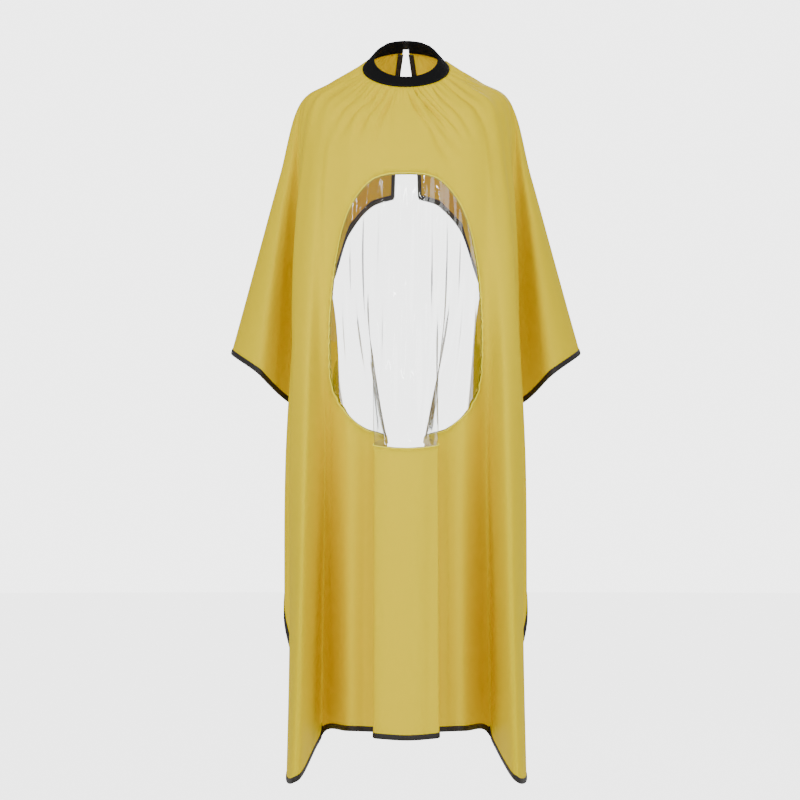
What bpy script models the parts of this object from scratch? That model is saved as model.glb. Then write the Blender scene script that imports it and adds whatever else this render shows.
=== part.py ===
"""A salon cape with a clear window, hanging as it does when it is worn.

Metres, +Z up, and +Y to the wearer's back. The cape is one sheet of cloth with a neck hole, a slit down the
back and an oval window in front. It hangs in folds, so it is described by hang lines: lines in the cloth that
run from the neckband down to its edge. Each one has a place on the neckband, a point where the cloth turns
over the shoulder or chest, and its place in plan at five levels below. The cloth between two hang lines is a
smooth loft, and each line is as long as the flat cloth is there, so the size that the cloth is cut to settles
where its edge hangs.
"""

import bmesh
import bpy
import numpy as np
from mathutils import Vector

# The cloth as it is cut, measured from the middle of the neck hole.
CUT_WIDTH = 1.44
FRONT_LENGTH = 1.305
BACK_LENGTH = 0.38
CORNER_TRIM = 0.030  # how much the rounding takes off the diagonal at a corner
NECK_HOLE_RADIUS = 0.10  # before it is gathered into the neckband

# The neckband, a strip of rib knit folded over the gathered edge of the neck hole.
NECK_HALF_WIDTH = 0.079  # at the band's lower edge
NECK_HALF_DEPTH = 0.088
BAND_TOP_SHARE = 0.76  # the upper edge is this much smaller round
BAND_HEIGHT = 0.019
BAND_DROP = 0.005  # the lower edge's middle height, below the origin
BAND_TILT = 0.037  # how far the front of the band is below its middle
BAND_OVERLAP = 0.008  # how far the cloth reaches into the band

# The window: an egg with its wide end down. Lengths run down the cloth from the middle of the neck hole.
WINDOW_TOP = 0.272
WINDOW_UPPER_LENGTH = 0.377  # from its top to where it is widest
WINDOW_LOWER_LENGTH = 0.128
WINDOW_HALF_WIDTH = 0.174
WINDOW_UPPER_SQUARENESS = 2.2  # 2 would be an ellipse
WINDOW_LOWER_SQUARENESS = 2.9
PANE_OVERLAP = 0.010  # how far the pane reaches behind the cloth
FACING_WIDTH = 0.012

# Thicknesses. The soft sheets are thicker than the real ones, which are a fraction of a millimetre.
CLOTH = 0.0010
PANE = 0.0010
FACING = 0.0008
SHEET_GAP = 0.0013  # between the cloth and the pane behind it
FACING_GAP = 0.0008  # between the pane and the facing
SEAM_GAP = 0.0016  # between two panels, edge to edge
BINDING_GAP = 0.0008  # between the cloth and the inside of its binding
BINDING = 0.0007
BINDING_DEPTH = 0.009
COVER = 0.0008
ELASTIC = 0.0008
FASTENER = 0.0010
STRAP = 0.0010
GAP = 0.0003  # between two pieces that touch

BAND_CLEARANCE = 0.0008  # between the cloth and the inside of the neckband's cover
ELASTIC_MARGIN = 0.06  # share of the band's height left free above and below the elastic

# The closing strap at the back of the neck, in degrees round the band from the middle of the back. Each is
# BAND_END and a number of turn steps, so that the flats of the band and of what lies on it match.
BAND_END = 4
TURN_STEP = 8
STRAP_ROOT = 28
ANCHOR_START = 20
ANCHOR_REACH = 44
STRAP_REACH = 36
HOOK_START = 20
LOOP_START = 12
LOOP_REACH = 52
STRAP_MARGIN = 0.10  # share of the band's height that the strap leaves free above and below

LEVELS = (-0.20, -0.45, -0.72, -1.02, -1.36)
# name, angle round the neckband from the front, flat end on the cloth's edge as (share of half width, share
# of the front length, or of the back length if negative), the turn over the body, the plan at each level
HANG_LINES = (
    ("centre_front", 0, (0.000, 1.0), (0.000, -0.124, -0.110),
     ((0.000, -0.150), (0.000, -0.167), (0.000, -0.196), (0.000, -0.200), (0.000, -0.206))),
    ("panel_middle", 9, (0.045, 1.0), (0.028, -0.123, -0.109),
     ((0.033, -0.149), (0.036, -0.166), (0.036, -0.194), (0.036, -0.198), (0.037, -0.204))),
    ("pleat_front", 17, (0.085, 1.0), (0.050, -0.120, -0.106),
     ((0.058, -0.146), (0.062, -0.159), (0.059, -0.185), (0.059, -0.188), (0.060, -0.193))),
    ("pleat_inside", 25, (0.125, 1.0), (0.066, -0.116, -0.103),
     ((0.080, -0.142), (0.079, -0.151), (0.032, -0.166), (0.032, -0.166), (0.033, -0.168))),
    ("pleat_back", 33, (0.170, 1.0), (0.084, -0.110, -0.100),
     ((0.101, -0.136), (0.100, -0.144), (0.070, -0.146), (0.070, -0.143), (0.071, -0.143))),
    ("panel_side", 42, (0.250, 1.0), (0.102, -0.101, -0.094),
     ((0.122, -0.129), (0.122, -0.139), (0.107, -0.145), (0.109, -0.143), (0.111, -0.142))),
    ("window_side", 52, (0.430, 1.0), (0.120, -0.089, -0.086),
     ((0.142, -0.119), (0.144, -0.130), (0.141, -0.094), (0.144, -0.044), (0.148, -0.014))),
    ("valley_turn", 56, (0.60, 1.0), (0.128, -0.083, -0.082),
     ((0.151, -0.114), (0.157, -0.133), (0.154, -0.098), (0.160, -0.048), (0.165, -0.020))),
    ("fold_ridge", 61, (0.820, 1.0), (0.137, -0.075, -0.078),
     ((0.160, -0.106), (0.175, -0.146), (0.181, -0.192), (0.187, -0.234), (0.196, -0.262))),
    ("fold_edge", 69, (0.985, 0.985), (0.151, -0.060, -0.072),
     ((0.178, -0.088), (0.200, -0.120), (0.213, -0.134), (0.214, -0.148), (0.221, -0.166))),
    ("fold_return", 76, (1.0, 0.90), (0.163, -0.045, -0.067),
     ((0.189, -0.066), (0.207, -0.086), (0.198, -0.080), (0.177, -0.070), (0.170, -0.068))),
    ("side_strip", 82, (1.0, 0.71), (0.172, -0.030, -0.063),
     ((0.196, -0.044), (0.206, -0.048), (0.220, -0.036), (0.222, -0.026), (0.224, -0.022))),
    ("inward_run", 87, (1.0, 0.54), (0.179, -0.017, -0.060),
     ((0.197, -0.022), (0.180, -0.004), (0.176, 0.016), (0.174, 0.022), (0.174, 0.022))),
    ("inner_fold", 90, (1.0, 0.39), (0.183, -0.008, -0.059),
     ((0.190, -0.004), (0.134, 0.030), (0.124, 0.048), (0.122, 0.050), (0.122, 0.050))),
    ("inner_turn", 93, (1.0, 0.33), (0.185, 0.000, -0.059),
     ((0.195, 0.006), (0.148, 0.056), (0.146, 0.082), (0.145, 0.085), (0.145, 0.085))),
    ("flap_inner", 96, (1.0, 0.24), (0.188, 0.006, -0.059),
     ((0.204, 0.008), (0.212, 0.024), (0.226, 0.030), (0.230, 0.032), (0.230, 0.032))),
    ("flap_front", 100, (1.0, 0.15), (0.190, 0.010, -0.060),
     ((0.219, 0.000), (0.256, -0.030), (0.286, -0.036), (0.302, -0.034), (0.312, -0.030))),
    ("flap_edge", 105, (1.0, 0.00), (0.190, 0.018, -0.061),
     ((0.232, 0.022), (0.302, 0.044), (0.376, 0.060), (0.444, 0.074), (0.504, 0.084))),
    ("flap_back", 112, (1.0, -0.42), (0.187, 0.034, -0.062),
     ((0.222, 0.058), (0.256, 0.126), (0.270, 0.156), (0.280, 0.166), (0.290, 0.176))),
    ("back_corner", 126, (0.985, -0.97), (0.168, 0.060, -0.056),
     ((0.192, 0.090), (0.200, 0.120), (0.212, 0.126), (0.216, 0.128), (0.216, 0.128))),
    ("back_fold", 136, (0.82, -1.0), (0.148, 0.077, -0.050),
     ((0.172, 0.106), (0.190, 0.180), (0.200, 0.206), (0.204, 0.210), (0.204, 0.210))),
    ("back_side", 147, (0.60, -1.0), (0.120, 0.094, -0.042),
     ((0.138, 0.104), (0.142, 0.112), (0.144, 0.114), (0.144, 0.114), (0.144, 0.114))),
    ("back_middle", 159, (0.38, -1.0), (0.082, 0.107, -0.032),
     ((0.104, 0.142), (0.108, 0.184), (0.110, 0.194), (0.110, 0.194), (0.110, 0.194))),
    ("back_valley", 168, (0.17, -1.0), (0.045, 0.112, -0.026),
     ((0.062, 0.112), (0.068, 0.110), (0.070, 0.110), (0.070, 0.110), (0.070, 0.110))),
    ("slit_edge", 180 - BAND_END, (0.01, -1.0), (0.013, 0.114, -0.022),
     ((0.022, 0.146), (0.028, 0.158), (0.028, 0.160), (0.028, 0.160), (0.028, 0.160))),
)
LINE = {line[0]: index for index, line in enumerate(HANG_LINES)}
# how far across the flat cloth each line passes the window, from the centre front to the fold ridge
WINDOW_PLACES = (0.0, 0.032, 0.0595, 0.0895, 0.119, 0.150, 0.178, 0.209, 0.240)
LAST_LINE = len(HANG_LINES) - 1
TAUT_PLACE = 0.55  # where the cloth is straightest between the neckband and the turn over the shoulder
TAUT_RISE = 0.002
PATH_SAMPLES = 120
STEPS_ALONG = 160

# Materials: colour, roughness, metallic
FINISHES = {
    "yellow_cloth": ((0.87, 0.66, 0.06), 0.55, 0.0),
    "black_rib": ((0.015, 0.015, 0.016), 0.85, 0.0),
    "black_binding": ((0.02, 0.018, 0.02), 0.65, 0.0),
    "clear_sheet": ((0.90, 0.92, 0.92), 0.08, 0.0),
    "window_tape": ((0.74, 0.62, 0.10), 0.60, 0.0),
    "hook_and_loop": ((0.03, 0.03, 0.032), 0.90, 0.0),
    "elastic": ((0.80, 0.79, 0.76), 0.80, 0.0),
}


def curve_through(points, knots, at):
    """Points on the smooth curve through the given points, which it passes at the knots."""
    points, knots, at = np.asarray(points, float), np.asarray(knots, float), np.asarray(at, float)
    slopes = np.empty_like(points)
    steps = np.diff(knots).reshape((-1,) + (1,) * (points.ndim - 1))
    chords = np.diff(points, axis=0) / steps
    slopes[1:-1] = (chords[:-1] * steps[1:] + chords[1:] * steps[:-1]) / (steps[:-1] + steps[1:])
    slopes[0], slopes[-1] = chords[0], chords[-1]
    index = np.clip(np.searchsorted(knots, at, side="right") - 1, 0, len(knots) - 2)
    shape = (-1,) + (1,) * (points.ndim - 1)
    width = (knots[index + 1] - knots[index]).reshape(shape)
    t = (at - knots[index]).reshape(shape) / width
    start = (1 + 2 * t) * (1 - t) ** 2
    return (
        start * points[index]
        + t * (1 - t) ** 2 * width * slopes[index]
        + (1 - start) * points[index + 1]
        + t * t * (t - 1) * width * slopes[index + 1]
    )


def band_point(degrees, share):
    """A point on the neckband's middle surface: share 0 is its lower edge and 1 its upper edge."""
    turn = np.radians(degrees)
    size = 1 - share * (1 - BAND_TOP_SHARE)
    return np.array((
        NECK_HALF_WIDTH * size * np.sin(turn),
        -NECK_HALF_DEPTH * size * np.cos(turn),
        share * BAND_HEIGHT - BAND_DROP - BAND_TILT * np.cos(turn),
    ))


def band_slant(degrees):
    """The band's height along its own slope."""
    return float(np.linalg.norm(band_point(degrees, 1) - band_point(degrees, 0)))


def flat_length(end):
    """How much cloth there is from the edge of the neck hole to this end of a hang line."""
    across, along = end
    reach = (across * CUT_WIDTH / 2, along * (FRONT_LENGTH if along > 0 else BACK_LENGTH))
    trim = CORNER_TRIM if min(abs(across), abs(along)) > 0.96 else 0
    return float(np.hypot(*reach)) - NECK_HOLE_RADIUS - trim


def hang_line(line):
    """Points down one hang line, evenly spaced, from inside the neckband to the cloth's edge."""
    name, degrees, end, turn, plans = line
    inside, below_band = band_point(degrees, BAND_OVERLAP / band_slant(degrees)), band_point(degrees, 0)
    taut = below_band + (np.array(turn) - below_band) * TAUT_PLACE + (0, 0, TAUT_RISE)
    path = [inside, below_band, taut, turn]
    path += [(*plan, level) for plan, level in zip(plans, LEVELS)]
    path = np.array(path)
    knots = np.concatenate(([0], np.cumsum(np.linalg.norm(np.diff(path, axis=0), axis=1) ** 0.5)))
    fine = curve_through(path, knots, np.linspace(0, knots[-1], PATH_SAMPLES * len(path)))
    run = np.concatenate(([0], np.cumsum(np.linalg.norm(np.diff(fine, axis=0), axis=1))))
    wanted = np.linspace(0, BAND_OVERLAP + flat_length(end), STEPS_ALONG + 1)
    return np.stack([np.interp(wanted, run, fine[:, axis]) for axis in range(3)], axis=1)


LINES = np.array([hang_line(line) for line in HANG_LINES])
LENGTHS = np.array([BAND_OVERLAP + flat_length(line[2]) for line in HANG_LINES])


def line_knots():
    """Knots across the hang lines, spaced by how far apart the lines hang at the height of the window."""
    plans = np.array([line[4][1] for line in HANG_LINES])
    return np.concatenate(([0], np.cumsum(np.linalg.norm(np.diff(plans, axis=0), axis=1) ** 0.5)))


KNOTS = line_knots()


def cloth_point(line, share):
    """A point of the cloth. line counts hang lines from the centre front and is negative on the left, and
    share runs from 0 inside the neckband to 1 at the cloth's edge."""
    side = -1 if line < 0 else 1
    place = np.interp(abs(line), range(len(KNOTS)), KNOTS)
    mirrored = LINES[1:4][::-1] * (-1, 1, 1)
    all_lines = np.concatenate((mirrored, LINES))
    all_knots = np.concatenate((-KNOTS[1:4][::-1], KNOTS))
    at = share * STEPS_ALONG
    low = int(np.clip(np.floor(at), 0, STEPS_ALONG - 1))
    row = all_lines[:, low] + (all_lines[:, low + 1] - all_lines[:, low]) * (at - low)
    point = curve_through(row, all_knots, np.array([place]))[0]
    return point * (side, 1, 1)


def unit(vector):
    return vector / np.linalg.norm(vector)


def cloth_frame(line, share):
    """The point, the outward normal, and the directions down the cloth and round it, over half a hang line's
    spacing on either side."""
    point = cloth_point(line, share)
    across = np.zeros(3)
    for step in (-0.5, 0.5):
        if abs(line + step) <= LAST_LINE:
            across += unit(cloth_point(line + step, share) - point) * np.sign(step)
    above, below = max(share - 0.004, 0), min(share + 0.004, 1)
    down = unit(cloth_point(line, below) - cloth_point(line, above))
    return point, unit(np.cross(down, across)), down, unit(across)


def length_at(line):
    """How long the cloth is at this place between two hang lines."""
    return float(np.interp(abs(line), range(len(LENGTHS)), LENGTHS))


def share_at(line, distance):
    """The share of the way down the cloth, for a distance from the middle of the neck hole."""
    return (distance - NECK_HOLE_RADIUS + BAND_OVERLAP) / length_at(line)


def raised(line, share, offset):
    """A point at this height over the cloth's middle surface, outwards."""
    point, normal, _, _ = cloth_frame(line, share)
    return point + normal * offset


# ---------------------------------------------------------------- objects

COLLECTION = bpy.data.collections.new("salon_cape")


def material(slot):
    """The Principled material of this slot, made once."""
    if slot in bpy.data.materials:
        return bpy.data.materials[slot]
    colour, roughness, metallic = FINISHES[slot]
    made = bpy.data.materials.new(slot)
    made.use_nodes = True
    shader = made.node_tree.nodes["Principled BSDF"]
    shader.inputs["Base Color"].default_value = (*colour, 1)
    shader.inputs["Roughness"].default_value = roughness
    shader.inputs["Metallic"].default_value = metallic
    return made


def sheet(name, columns, rows, place, thickness, slot):
    """A sheet of this thickness. place(column, row) gives each point of its middle surface."""
    mesh = bpy.data.meshes.new(name)
    grid = bmesh.new()
    bmesh.ops.create_grid(grid, x_segments=len(columns) - 1, y_segments=len(rows) - 1, size=1)
    for vertex in grid.verts:
        column = round((vertex.co.x + 1) / 2 * (len(columns) - 1))
        row = round((vertex.co.y + 1) / 2 * (len(rows) - 1))
        vertex.co = Vector(place(columns[column], rows[row]))
    bmesh.ops.remove_doubles(grid, verts=grid.verts, dist=1e-6)
    bmesh.ops.recalc_face_normals(grid, faces=grid.faces)
    grid.to_mesh(mesh)
    grid.free()
    obj = bpy.data.objects.new(name, mesh)
    COLLECTION.objects.link(obj)
    mesh.materials.append(material(slot))
    solid = obj.modifiers.new("thickness", "SOLIDIFY")
    solid.thickness = thickness
    solid.offset = 0
    return obj


# ---------------------------------------------------------------- cloth


def window_line(across):
    """The hang line at this distance across the flat cloth from the window's middle."""
    return float(np.sign(across) * np.interp(abs(across), WINDOW_PLACES, range(len(WINDOW_PLACES))))


def window_across(line):
    """The distance across the flat cloth, where the window is, for a hang line."""
    return float(np.interp(abs(line), range(len(WINDOW_PLACES)), WINDOW_PLACES))


def window_edges(line, margin=0.0):
    """Where this hang line meets the window's upper and lower edge, as distances down the cloth. The edge is
    moved out by the margin, and a line outside the window gets its widest point twice."""
    share = min(window_across(line) / (WINDOW_HALF_WIDTH + margin), 1.0)
    widest = WINDOW_TOP + WINDOW_UPPER_LENGTH
    upper, lower = WINDOW_UPPER_SQUARENESS, WINDOW_LOWER_SQUARENESS
    above = (WINDOW_UPPER_LENGTH + margin) * (1 - share**upper) ** (1 / upper)
    below = (WINDOW_LOWER_LENGTH + margin) * (1 - share**lower) ** (1 / lower)
    return widest - above, widest + below


def on_cloth(line, distance, offset=0.0):
    """The point this far down the cloth from the middle of the neck hole, raised outwards by the offset."""
    return raised(line, min(max(share_at(line, distance), 0.0), 1.0), offset)


def row_distances(start, stop, count, first=0.0, last=0.0):
    """Distances down the cloth for a panel's rows: even ones, after a first and before a last short one."""
    inner = np.linspace(start + first, stop - last, count + 1)
    return np.concatenate(([start] if first else [], inner, [stop] if last else []))


def cloth_panel(name, lines, upper, lower, count, first=0.0, last=None):
    """A panel between the first and last of these hang lines. upper(line) and lower(line) are its ends, as
    distances down the cloth, and last(line) is the height of its last row. Its sides are drawn in by half the
    seam gap."""
    lines = np.asarray(lines, float)
    rows = range(count + 2 + bool(first))
    last = last or hem_row

    def place(line, row):
        distance = row_distances(upper(line), lower(line), count, first, last(line))[row]
        share = share_at(line, distance)
        point = cloth_point(line, share)
        for edge, inner in ((lines[0], lines[1]), (lines[-1], lines[-2])):
            if line == edge and abs(line) < LAST_LINE:
                inward = cloth_point(edge + (inner - edge) * 0.1, share) - point
                point = point + unit(inward) * SEAM_GAP / 2
        return point

    return sheet(name, lines, rows, place, CLOTH, "yellow_cloth")


def hem_row(line):
    """How far up a hang line the cloth's last row reaches. It is longer where the hem runs at a slant."""
    edge = cloth_point(line, 1.0)
    down = unit(edge - cloth_point(line, 1 - HEM_ROW / length_at(line)))
    slants = [
        float(np.linalg.norm(np.cross(unit(cloth_point(line + step, 1.0) - edge), down)))
        for step in (-0.5, 0.5)
        if abs(line + step) <= LAST_LINE
    ]
    return HEM_ROW / max(sum(slants) / len(slants), 0.25)


def neck_end(line):
    return NECK_HOLE_RADIUS - BAND_OVERLAP


def hem_end(line):
    return NECK_HOLE_RADIUS - BAND_OVERLAP + length_at(line)


def half_steps(first, last):
    """Places across the hang lines, two to each line and more beside a sharp fold."""
    places = np.linspace(first, last, int(round(abs(last - first) * 2)) + 1)
    beside = [side * (LINE[name] + step) for name in SHARP_FOLDS for side in (-1, 1) for step in BESIDE_FOLD]
    low, high = sorted((first, last))
    places = np.union1d(places, [place for place in beside if low < place < high])
    return places if last > first else places[::-1]


def window_columns(edge):
    """Places across the window, closer together where its side turns."""
    inner = list(half_steps(0, int(edge)))[:-1]
    turning = [edge - (edge - inner[-1]) * share for share in (0.6, 0.3, 0.12, 0.03, 0.0)]
    right = inner + turning
    return np.array([-line for line in right[:0:-1]] + right)


def wrapped_edge(name, places, edge_of, slot="black_binding"):
    """A folded tape round an edge. edge_of(place) gives a point on the edge, the way back into the cloth for
    each unit of the tape's depth, and the cloth's normal there."""
    clear = CLOTH / 2 + BINDING_GAP + BINDING / 2
    corners = ((BINDING_DEPTH, clear), (-clear, clear), (-clear, -clear), (BINDING_DEPTH, -clear))

    def place(where, corner):
        edge, back, normal = edge_of(where)
        reach, height = corner
        return edge + back * reach + normal * height

    return sheet(name, places, corners, place, BINDING, slot)


def hem_edge(line):
    """The cloth's lower edge at this hang line."""
    edge, normal, _, _ = cloth_frame(line, 1.0)
    back = (cloth_point(line, 1 - hem_row(line) / length_at(line)) - edge) / HEM_ROW
    return edge, back, unit(normal - unit(back) * float(normal @ unit(back)))


def slit_edge_of(side, rows):
    """The cloth's edge at the slit down the back, on this side, by count of the back panel's rows."""
    line = side * LAST_LINE
    inner_line = line - side * 0.5

    def row_point(line, row):
        distance = np.interp(row, range(len(rows)), rows)
        return cloth_point(line, share_at(line, distance))

    def edge_of(place):
        row = int(place)
        between = place - row
        edge = row_point(line, row) * (1 - between) + row_point(line, row + 1) * between
        inner = row_point(inner_line, row) * (1 - between) + row_point(inner_line, row + 1) * between
        down = unit(row_point(line, row + 1) - row_point(line, max(row - 1, 0)))
        if between:
            down = unit(row_point(line, row + 1) - row_point(line, row))
        back = inner - edge
        back = unit(back - down * float(back @ down))
        return edge, back, np.cross(back, down) * -side

    return edge_of


def trimmed(lines, lower):
    """These places along the hem with both ends drawn in by half the seam gap."""
    lines = np.array(lines, float)
    for end, inner in ((0, 1), (-1, -2)):
        near, far = cloth_point(lines[end], lower), cloth_point(lines[inner], lower)
        lines[end] += (lines[inner] - lines[end]) * SEAM_GAP / 2 / np.linalg.norm(far - near)
    return lines


# The cloth. It is cut in one piece. Here it is divided between its folds, into panels of a simple shape.
HEM_ROW = BINDING_DEPTH * 1.2
PANE_ROW = PANE_OVERLAP * 1.2
SIDES = (("left", -1), ("right", 1))
PANEL_ROWS = 16  # from the neckband to the hem
PANE_ROWS = 17
LOWER_ROWS = 10  # from the window to the hem
BESIDE_FOLD = (-0.25, -0.1, 0.1, 0.25)  # more places across the cloth, in hang lines from a sharp fold
SHARP_FOLDS = ("fold_edge", "inner_fold", "back_corner", "back_fold", "back_side")


def window_top(line):
    return window_edges(line)[0]


def below_window(line):
    return window_edges(line)[1] + SEAM_GAP


def make_cloth():
    """The panels, from the middle of the front round to the slit."""
    edge = LINE["window_side"]
    pleat_start, pleat_end = LINE["pleat_front"] + 0.5, LINE["pleat_back"] + 0.5
    side_start, side_end = LINE["fold_return"] + 0.5, LINE["inner_fold"] + 0.5
    fold_end, flap_end = LINE["fold_ridge"] + 0.5, LINE["flap_back"] + 0.5
    back_end = LINE["back_side"] + 0.5
    across = window_columns(edge)
    cloth_panel("upper_front", across, neck_end, window_top, PANEL_ROWS, BAND_OVERLAP, lambda line: PANE_ROW)
    cloth_panel("centre_pleat_panel", half_steps(-pleat_start, pleat_start), below_window, hem_end, LOWER_ROWS,
                PANE_ROW)
    for name, side in SIDES:
        def panel(label, lines, *ends):
            return cloth_panel(f"{name}_{label}", side * np.array(lines), *ends)

        outer = [line for line in across if line >= pleat_end]
        panel("pleat_underlay", half_steps(pleat_start, pleat_end), below_window, hem_end, LOWER_ROWS, PANE_ROW)
        panel("lower_front", outer, below_window, hem_end, LOWER_ROWS, PANE_ROW)
        panel("front_fold", half_steps(edge, fold_end), neck_end, hem_end, PANEL_ROWS, BAND_OVERLAP)
        panel("front_corner", half_steps(fold_end, side_start), neck_end, hem_end, PANEL_ROWS, BAND_OVERLAP)
        panel("side_panel", half_steps(side_start, side_end), neck_end, hem_end, PANEL_ROWS, BAND_OVERLAP)
        panel("shoulder_flap", half_steps(side_end, flap_end), neck_end, hem_end, PANEL_ROWS, BAND_OVERLAP)
        panel("back_corner", half_steps(flap_end, back_end), neck_end, hem_end, PANEL_ROWS, BAND_OVERLAP)
        panel("back_panel", half_steps(back_end, LAST_LINE), neck_end, hem_end, PANEL_ROWS, BAND_OVERLAP)


def make_bindings():
    """The tape round the cloth's outer edge."""
    corner, back_corner = LINE["fold_edge"], LINE["back_corner"]
    front = np.union1d(half_steps(-corner, corner), window_columns(LINE["window_side"]))
    wrapped_edge("front_hem_binding", trimmed(front, 1.0), hem_edge)
    for name, side in SIDES:
        wrapped_edge(f"{name}_side_binding", trimmed(side * half_steps(corner, back_corner), 1.0), hem_edge)
        back_hem = trimmed(side * half_steps(back_corner, LAST_LINE), 1.0)
        wrapped_edge(f"{name}_back_hem_binding", back_hem, hem_edge)
        line = side * LAST_LINE
        rows = row_distances(neck_end(line), hem_end(line), PANEL_ROWS, BAND_OVERLAP, hem_row(line))
        places = np.arange(1.0, len(rows) - 1)
        places[0] += BINDING_DEPTH / (rows[2] - rows[1])
        wrapped_edge(f"{name}_slit_binding", places, slit_edge_of(side, rows))


def make_window():
    """The clear pane behind the window, and the facing tape that it is stitched through."""
    behind = -(CLOTH / 2 + SHEET_GAP + PANE / 2)
    edge = abs(window_line(WINDOW_HALF_WIDTH + PANE_OVERLAP))
    columns = window_columns(edge)

    def pane_point(line, row):
        upper, lower = window_edges(line, PANE_OVERLAP)
        end_row = max(min(PANE_OVERLAP, (lower - upper) / 4), 1e-6)  # the pane comes to a point at its sides
        return on_cloth(line, row_distances(upper, lower, PANE_ROWS, end_row, end_row)[row], behind)

    sheet("clear_window", columns, range(PANE_ROWS + 3), pane_point, PANE, "clear_sheet")
    for name, part in (("upper", 0), ("lower", 1)):
        def facing_point(line, margin, part=part):
            distance = window_edges(line, margin)[part] + part * SEAM_GAP
            return on_cloth(line, distance, behind - (PANE + FACING) / 2 - FACING_GAP)

        margins = (PANE_OVERLAP, PANE_OVERLAP - FACING_WIDTH)
        sheet(f"window_facing_{name}", columns, margins, facing_point, FACING, "window_tape")


def band_surface(degrees, share, offset):
    """A point at this height over the neckband's middle surface, outwards."""
    point = band_point(degrees, share)
    around = band_point(degrees + 0.5, share) - band_point(degrees - 0.5, share)
    up = band_point(degrees, 1) - band_point(degrees, 0)
    normal = np.cross(around, up)
    return point + normal / np.linalg.norm(normal) * offset


def make_neckband():
    """The rib cover folded over the gathered edge, with the elastic inside it."""
    clear = CLOTH / 2 + BAND_CLEARANCE + COVER / 2
    turns = np.arange(BAND_END - 180, 180, TURN_STEP)
    fold = 1.0 + clear / BAND_HEIGHT
    outside = ((0.0, clear), (0.5, clear), (1.0, clear))
    inside = ((1.0, -clear), (0.5, -clear), (0.0, -clear))

    def cover_point(turn, corner):
        return band_surface(turn, *corner)

    def elastic_point(turn, share):
        return band_surface(turn, share, 0.0)

    sheet("neckband_cover", turns, (*outside, (fold, 0.0), *inside), cover_point, COVER, "black_rib")
    low = BAND_OVERLAP / band_slant(0) + ELASTIC_MARGIN
    sheet("neck_elastic", turns[1:-1], (low, 1 - ELASTIC_MARGIN), elastic_point, ELASTIC, "elastic")


def make_closure():
    """The strap that closes the slit: its stitched end, the flap that peels, and the hook and loop tapes."""
    loop_bottom = CLOTH / 2 + BAND_CLEARANCE + COVER + GAP
    hook_bottom = loop_bottom + FASTENER + GAP
    strap_bottom = hook_bottom + FASTENER + GAP

    def patch(name, first, last, bottom, thickness, slot, narrower=0.0):
        """A patch over the band from first to last, in degrees round from the middle of the back."""
        turns = 180 - np.arange(last, first + TURN_STEP / 2, TURN_STEP)
        rows = (STRAP_MARGIN + narrower, 1 - STRAP_MARGIN - narrower)
        middle = bottom + thickness / 2

        def place(turn, share):
            return band_surface(turn, share, middle)

        return sheet(name, turns, rows, place, thickness, slot)

    patch("loop_tape", -LOOP_START, -LOOP_REACH, loop_bottom, FASTENER, "hook_and_loop", 0.05)
    moving = (
        patch("hook_tape", -HOOK_START, -STRAP_REACH, hook_bottom, FASTENER, "hook_and_loop", 0.10),
        patch("closure_strap", STRAP_ROOT, -STRAP_REACH, strap_bottom, STRAP, "black_rib"),
    )
    hinge = bpy.data.objects.new("strap_hinge", None)
    COLLECTION.objects.link(hinge)
    low, high = (Vector(band_surface(180 - STRAP_ROOT, share, strap_bottom + STRAP / 2)) for share in (0, 1))
    hinge.matrix_world = (low - high).to_track_quat("Z", "X").to_matrix().to_4x4()
    hinge.location = (low + high) / 2
    bpy.context.view_layer.update()
    for obj in moving:
        obj.parent = hinge
        obj.matrix_parent_inverse = hinge.matrix_world.inverted()
    anchor_thickness = strap_bottom - GAP - loop_bottom
    patch("strap_anchor", ANCHOR_REACH, ANCHOR_START, loop_bottom, anchor_thickness, "black_rib")


def main():
    for obj in list(bpy.data.objects):
        bpy.data.objects.remove(obj)
    bpy.context.scene.collection.children.link(COLLECTION)
    make_cloth()
    make_bindings()
    make_window()
    make_neckband()
    make_closure()


main()
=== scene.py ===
# %% [markdown]
# # A salon cape with a clear window
#
# The cape hangs from a knitted neckband as it does when it is worn. It is one sheet of thin polyester, so most of
# this lesson is about one large cloth surface: how to lay out its folds, how to carry them from one
# hang line to the next, and how to add what is sewn to it, which is binding, a window of clear sheet, a neckband
# and thread.

import bmesh
import bpy
import numpy as np
from mathutils import Matrix, Vector


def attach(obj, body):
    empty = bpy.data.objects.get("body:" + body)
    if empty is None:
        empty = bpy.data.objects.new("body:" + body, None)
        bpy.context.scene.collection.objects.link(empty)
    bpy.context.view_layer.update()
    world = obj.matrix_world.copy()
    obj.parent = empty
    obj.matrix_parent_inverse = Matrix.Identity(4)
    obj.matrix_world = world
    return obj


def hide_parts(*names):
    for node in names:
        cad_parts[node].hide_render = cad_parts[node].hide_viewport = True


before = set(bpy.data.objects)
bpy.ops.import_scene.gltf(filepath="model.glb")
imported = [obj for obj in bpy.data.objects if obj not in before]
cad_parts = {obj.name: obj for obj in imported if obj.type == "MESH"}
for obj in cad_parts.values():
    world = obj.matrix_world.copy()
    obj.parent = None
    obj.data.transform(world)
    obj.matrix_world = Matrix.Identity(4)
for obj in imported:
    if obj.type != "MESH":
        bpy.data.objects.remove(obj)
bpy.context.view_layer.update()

# %% [markdown]
# ## The camera
#
# A hanging garment is best seen from straight in front, from far away, so that its long hem doesn't look larger
# than its collar. A long lens gives that. The camera looks level at the middle of the cape.

# %% Camera
IMAGE_WIDTH = 1.472  # metres of the cape's front that the picture takes in
CAMERA_DISTANCE = 11.0
VIEW_CENTRE = (-0.011, -0.05, -0.615)

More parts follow.
